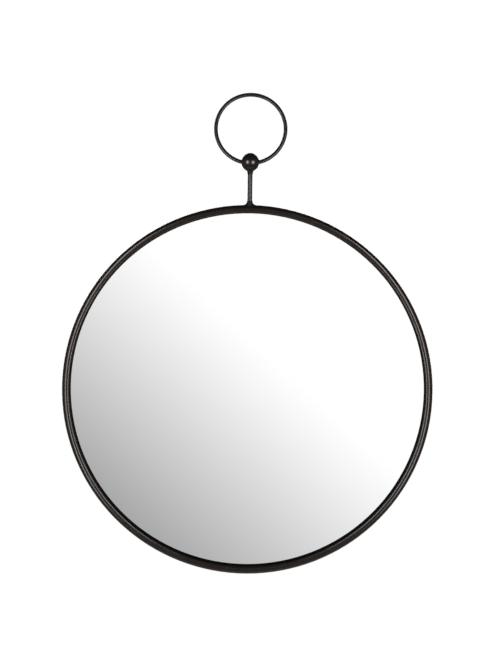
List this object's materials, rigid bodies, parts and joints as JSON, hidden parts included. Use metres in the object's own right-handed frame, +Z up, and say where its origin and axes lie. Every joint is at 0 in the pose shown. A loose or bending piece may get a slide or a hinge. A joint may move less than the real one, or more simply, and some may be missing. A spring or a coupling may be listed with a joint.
{
  "type": "round wall mirror",
  "caption": "Round wall mirror in a slim black tube frame, with a rigid hanging ring on a ball and stem above it and swinging D-ring hangers on its back.",
  "frame": {"origin": "centre of the mirror's disc, on the wall plane that its back stands against", "axes": "+Z up, +Y into the wall, so the mirror faces -Y; +X to the right of someone who looks into it"},
  "size_m": [0.5999, 0.042, 0.7797],
  "materials": {
    "black_metal": "satin",
    "weld": "satin, uneven",
    "mirror": "polished",
    "foam": "matte",
    "fibreboard": "matte",
    "zinc": "zinc plated"
  },
  "bodies": {
    "root": {"frame_tube": "black_metal", "rebate_band": "black_metal", "mirror_glass": "mirror", "foam_sheet": "foam", "backing_board": "fibreboard", "retaining_tab_1": "black_metal", "retaining_tab_2": "black_metal", "retaining_tab_3": "black_metal", "retaining_tab_4": "black_metal", "retaining_tab_5": "black_metal", "retaining_tab_6": "black_metal", "retaining_tab_7": "black_metal", "retaining_tab_8": "black_metal", "stem_weld": "weld", "finial_stem": "black_metal", "neck_weld": "weld", "finial_ball": "black_metal", "hanging_ring": "black_metal", "hanger_strap_left": "zinc", "hanger_strap_right": "zinc", "hanger_screws": "zinc"},
    "hanger_ring_left": {"hanger_ring_left": "zinc"},
    "hanger_ring_right": {"hanger_ring_right": "zinc"}
  },
  "joints": [
    {"name": "hanger_ring_left_swing", "type": "hinge", "parent": "root", "child": "hanger_ring_left", "pos_m": [-0.17, -0.00388, 0.15], "axis": [1, 0, 0], "range_deg": [0, 178]},
    {"name": "hanger_ring_right_swing", "type": "hinge", "parent": "root", "child": "hanger_ring_right", "pos_m": [0.17, -0.00388, 0.15], "axis": [1, 0, 0], "range_deg": [0, 178]}
  ]
}
